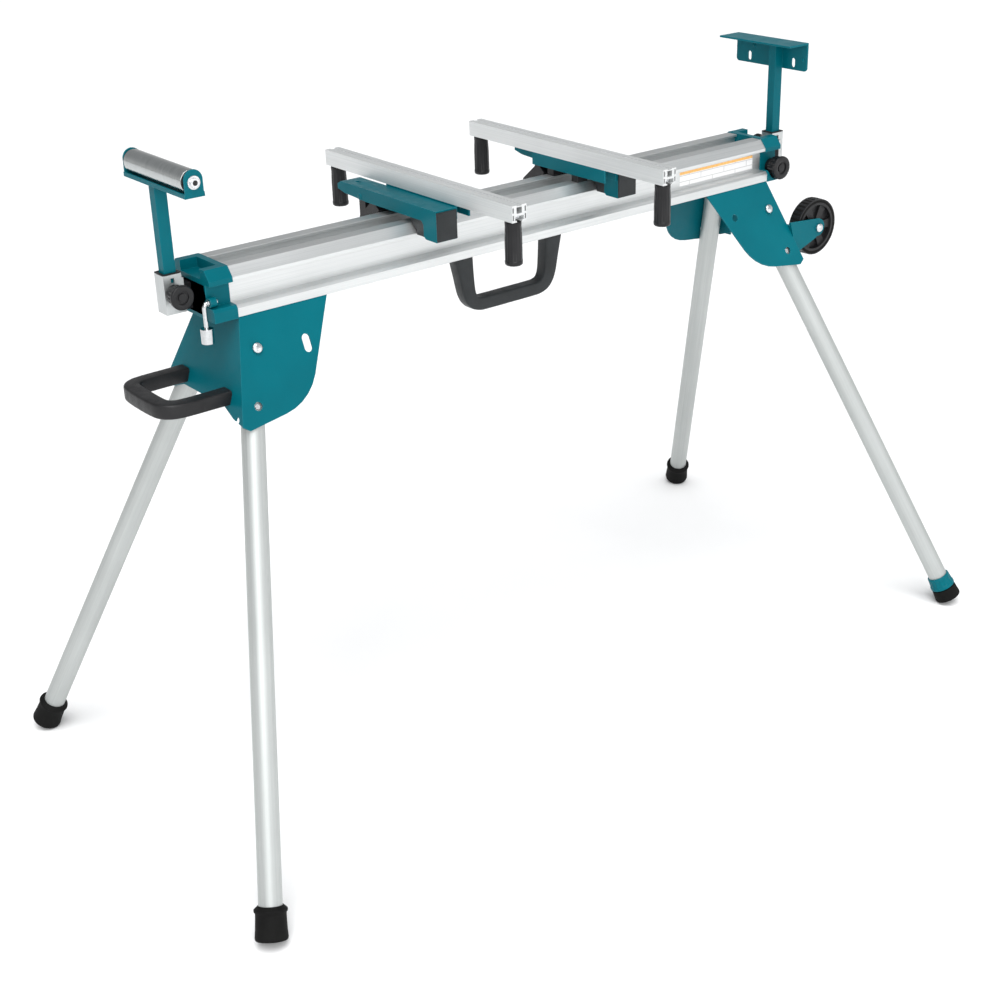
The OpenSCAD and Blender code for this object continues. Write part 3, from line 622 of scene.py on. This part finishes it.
def clamp_barrel(node):
    """Long tapered clamp knob: a plain collar at its lower end, shallow flutes and a bead at the top."""
    low, high = (Vector(corner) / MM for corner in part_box(node))
    centre = (low + high) / 2
    length = high.z - low.z
    collar_profile = [
        (8.5, -0.2, 0), (10.6, 0.1, 0), (11.9, 1.2, 0), (12.3, 3, 0), (12.3, 6, 0), (12.0, 6.8, 0.5),
    ]
    fluted = [(12.0, length * 0.6, 0.6), (11.5, length - 12, 0.5), (11.2, length - 6, 0.1)]
    bead = [(11.4, length - 5, 0), (11.4, length - 1, 0), (10.4, length, 0)]
    geometry = turned(collar_profile + fluted + bead, (centre.x, centre.y, low.z), (0, 0, 1),
                      BARREL_RIBS, BARREL_RIBS * 8)
    piece(node + "_barrel", geometry, "glossy", node, (node,))


for side, sign in SIDES.items():
    knob = middle("post_knob_" + side)
    ribbed_knob("post_knob_" + side, (knob.x, sign * POST_KNOB_BASE, knob.z), (0, sign, 0),
                neck=13, head_start=9.3, head_end=24.3, radius=16.5)
    knob = middle("arm_knob_" + side)
    ribbed_knob("arm_knob_" + side, (knob.x, -sign * ARM_KNOB_BASE, knob.z), (0, -sign, 0),
                neck=12, head_start=11.3, head_end=29.3, radius=19)
    for end in ENDS:
        clamp_barrel(f"clamp_knob_{side}_{end}")


# ---------------------------------------------------------------- feet and collar

# From the pivot to the foot's lower end
LEG_LENGTH = 773.17

# Profile of every foot's rounded lower end
SOLE = [(15, 0.4, 0), (20.8, 0.05, 0), (21.7, 0.9, 0), (22.2, 3, 0), (22.0, 6, 0)]


def foot_end(corner):
    """Middle of the foot's lower end, in millimetres, and the direction up the leg."""
    up = -leg_direction(corner)
    pivot = Vector(joints["fold_" + corner]["pos_m"]) / MM
    return pivot - up * LEG_LENGTH, up


# Bead round the top of a plain boot, and the pad and stem of the adjustable foot
BOOT_TOP = [
    (21.3, 14, 0), (20.8, 26, 0), (20.6, 35, 0), (20.9, 36, 0), (22.0, 36.8, 0), (22.5, 38.5, 0),
    (22.2, 40.5, 0), (21, 41.6, 0), (18.6, 43.6, 0), (17.2, 45, 0), (16.2, 45, 0), (16.15, 41, 0),
]
PAD_AND_STEM = [(21.3, 14, 0), (20.9, 19, 0), (20.2, 21, 0), (18, 22, 0), (13.9, 22.2, 0), (13.9, 90, 0)]
COLLAR = [
    (16.1, 23, 0), (20.4, 23.1, 0), (21.2, 24, 0), (21.2, 28.5, 0), (20.6, 29.6, 0.9),
    (19.4, 41, 0.9), (19.2, 42, 0), (18.9, 45, 0), (18, 46, 0), (16.1, 46, 0),
]
COLLAR_RIBS = 14

for corner in ("front_left", "rear_left", "rear_right"):
    end, up = foot_end(corner)
    boot = turned(SOLE + BOOT_TOP, end, up, segments=56)
    piece("boot_" + corner, boot, "rubber", "leg_" + corner, ("foot_" + corner,))
end, up = foot_end("front_right")
boot = turned(SOLE + PAD_AND_STEM, end, up, segments=56)
piece("boot_front_right", boot, "rubber", "foot_front_right", ("foot_front_right",))
collar = turned(COLLAR, end, up, COLLAR_RIBS, COLLAR_RIBS * 8, closed=True)
piece("collar_ribbed", collar, "teal", "adjuster_collar", ("adjuster_collar",))


# ---------------------------------------------------------------- wheels

# Half of the tyre's section, from its middle to its bead
TYRE_HALF = [(47.4, 0, 0.9), (47.2, 7.5, 0.7), (46, 9.8, 0), (43, 10.5, 0), (39.5, 9.6, 0)]
TYRE_INSIDE = (38, 0, 0)
TREAD_BLOCKS = 36
HUB_COVER = [(13.2, 9, 0), (13.0, 10.6, 0), (11.8, 11.4, 0), (6, 11.5, 0)]

for end, outward in ENDS.items():
    hub = middle("wheel_" + end)
    near_half = [(radius, -height, hollow) for radius, height, hollow in reversed(TYRE_HALF[1:])]
    tyre = turned(near_half + TYRE_HALF + [TYRE_INSIDE], hub, (0, 1, 0),
                  TREAD_BLOCKS, TREAD_BLOCKS * 6, closed=True)
    piece("tyre_" + end, tyre, "rubber", "wheel_" + end)
    cover = turned(HUB_COVER, hub, (0, outward, 0), segments=40)
    piece("hub_cover_" + end, cover, "black", "wheel_" + end)


# ---------------------------------------------------------------- handles

# Half of the carry handle from the beam down to the middle of its bar: offset, drop, width, thickness
CARRY_HALF = [(87, 0, 35, 21), (86, 14, 33, 22), (82, 44, 27, 22), (77.5, 72, 23, 22), (70, 86, 21, 22),
              (58, 91.8, 20.5, 22), (40, 92.8, 20.5, 22), (0, 92.8, 20.5, 22)]

# Plates that hold the carry handle to the beam: offset, half length, half depth and thickness
CARRY_FOOT = (86, 22, 15, 3)

carry = middle("carry_handle")
carry_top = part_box("carry_handle")[1][2] / MM
half = spline(CARRY_HALF, 6)
loop = [(-x, drop, wide, thick) for x, drop, wide, thick in half]
loop += [(x, drop, wide, thick) for x, drop, wide, thick in reversed(half[:-1])]
grip = swept([(carry.x + x, carry.y, carry_top - drop, wide, thick) for x, drop, wide, thick in loop],
             (0, 1, 0), round_power=7)
piece("carry_handle_grip", grip, "grey", "stand", ("carry_handle",))
offset, half_length, half_depth, thickness = CARRY_FOOT
for side, sign in SIDES.items():
    foot_x = carry.x + sign * offset
    foot_top = carry_top - 0.2
    foot = slab((foot_x - half_length, -half_depth, foot_top - thickness),
                (foot_x + half_length, half_depth, foot_top))
    piece("carry_foot_" + side, foot, "grey", "stand")

# Half of the drag handle: distance from the beam's middle, offset, width, height
DRAG_HALF = [(529, 57.5, 23, 20), (556, 57.5, 22, 20), (590, 57, 22, 20), (607, 53.5, 22, 20.5),
             (617, 43, 22.5, 21), (619.5, 26, 23, 21), (620, 0, 23.5, 21)]
drag = middle("drag_handle")
half = spline(DRAG_HALF, 6)
loop = [(-x, -y, drag.z, wide, high) for x, y, wide, high in half]
loop += [(-x, y, drag.z, wide, high) for x, y, wide, high in reversed(half[:-1])]
piece("drag_handle_grip", swept(loop, (0, 0, 1), round_power=7), "black", "stand", ("drag_handle",))


# ---------------------------------------------------------------- rims, welds, rivets and label

# Half sizes of the post, and how far the cradle's base lies under the axle and the shelf under its top
POST_HALF_X = 8.5
POST_HALF_Y = 7.5
CRADLE_DROP = 12.8
SHELF_THICKNESS = 3
RIVET = [(2.8, 0.1, 0), (2.7, 0.8, 0), (1.8, 1.5, 0), (0.6, 1.8, 0)]
RIVET_PLACES = {"rear": (575.5, 56, 938), "front": (575.5, -51, 927)}


def post_ring(side, z, gap, width, height):
    """Bar round a post at height z, its middle line gap away from the post's faces."""
    post_x = middle("post_knob_" + side).x
    return rectangle_ring(post_x, 0, z, POST_HALF_X + gap, POST_HALF_Y + gap, width, height)


def post_weld(name, side, z, body):
    """Weld bead round a post, just under the plate that it carries."""
    piece(name, post_ring(side, z - 1.2, 0.3, 2.6, 2.6), "teal", body)


for side in SIDES:
    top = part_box("post_socket_" + side)[1][2] / MM
    piece("socket_rim_" + side, post_ring(side, top + 0.6, 3.1, 4.4, 2.2), "black", "arm_" + side)
post_weld("weld_roller_post", "left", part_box("roller_axle")[0][2] / MM - CRADLE_DROP, "roller_post")
post_weld("weld_stop_post", "right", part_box("stop_support")[1][2] / MM - SHELF_THICKNESS, "stop_post")
for name, place in RIVET_PLACES.items():
    piece("stop_rivet_" + name, turned(RIVET, place, (-1, 0, 0), segments=20), "teal", "stop_post")

# Cover over the outer end of each clamp lever's hinge pin
PIN_COVER = [(5.0, -0.2, 0), (4.9, 0.5, 0), (4.0, 0.8, 0), (2.2, 1.0, 0)]
for side, sign in SIDES.items():
    lever_low, lever_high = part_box("clamp_lever_" + side)
    hinge = Vector(joints["clamp_" + side]["pos_m"]) / MM
    outer_x = (lever_high if sign > 0 else lever_low)[0] / MM
    cover = turned(PIN_COVER, (outer_x, hinge.y, hinge.z), (sign, 0, 0), segments=28)
    piece("pin_cover_" + side, cover, "teal", "saddle_" + side)

# Printed foil on the beam's front web
LABEL_LOW = (317, -36.25, 763)
LABEL_HIGH = (482, -35.9, 785)
piece("beam_label", slab(LABEL_LOW, LABEL_HIGH), "sticker", "stand")

# Profile of a domed bolt head, used on the legs' pivots and the wheels' axles
DOME = [(7.2, -1.5, 0), (7.2, -0.4, 0), (6.7, 0.6, 0), (5.2, 1.6, 0), (3.0, 2.2, 0), (1.0, 2.4, 0)]

# From the domes' base to the bolts' seats, from the leg's axis to its bracket's outside, and from the
# beam's middle to the outside of the wheel tabs
HEAD_HEIGHT = 3.7
PIVOT_DEPTH = 19.5
TAB_Y = 93
for corner in CORNERS:
    inward = Vector(joints["press_button_" + corner]["axis"])
    pivot = Vector(joints["fold_" + corner]["pos_m"]) / MM
    face = pivot - inward * (PIVOT_DEPTH + HEAD_HEIGHT)
    piece("pivot_dome_" + corner, turned(DOME, face, -inward, segments=32), "zinc", "stand")
for end, sign in ENDS.items():
    hub = middle("wheel_" + end)
    face = (hub.x, sign * (TAB_Y + HEAD_HEIGHT), hub.z)
    piece("axle_dome_" + end, turned(DOME, face, (0, sign, 0), segments=32), "zinc", "stand")

# Painted shade: a black disc in the socket at each end of the roller's axle, and the washer behind the axle's
# head
AXLE_SOCKET_SHADE = [(3.4, -0.4, 0), (3.4, 0.15, 0), (2.6, 0.15, 0)]
AXLE_WASHER = [(8.6, 0, 0), (8.6, 1.0, 0), (8.0, 1.3, 0), (5.6, 1.3, 0)]
AXLE_HEAD = 4
axle = middle("roller_axle")
axle_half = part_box("roller_axle")[1][1] / MM - axle.y
for end, outward in ENDS.items():
    y = axle.y + outward * axle_half
    # Painted shade: a black disc stands for the dark inside of the axle's socket
    hole = turned(AXLE_SOCKET_SHADE, (axle.x, y, axle.z), (0, outward, 0), segments=24)
    piece("axle_hole_" + end, hole, "black", "roller_post")
    washer = turned(AXLE_WASHER, (axle.x, y - outward * AXLE_HEAD, axle.z), (0, outward, 0), segments=32)
    piece("axle_washer_" + end, washer, "zinc", "roller_post")
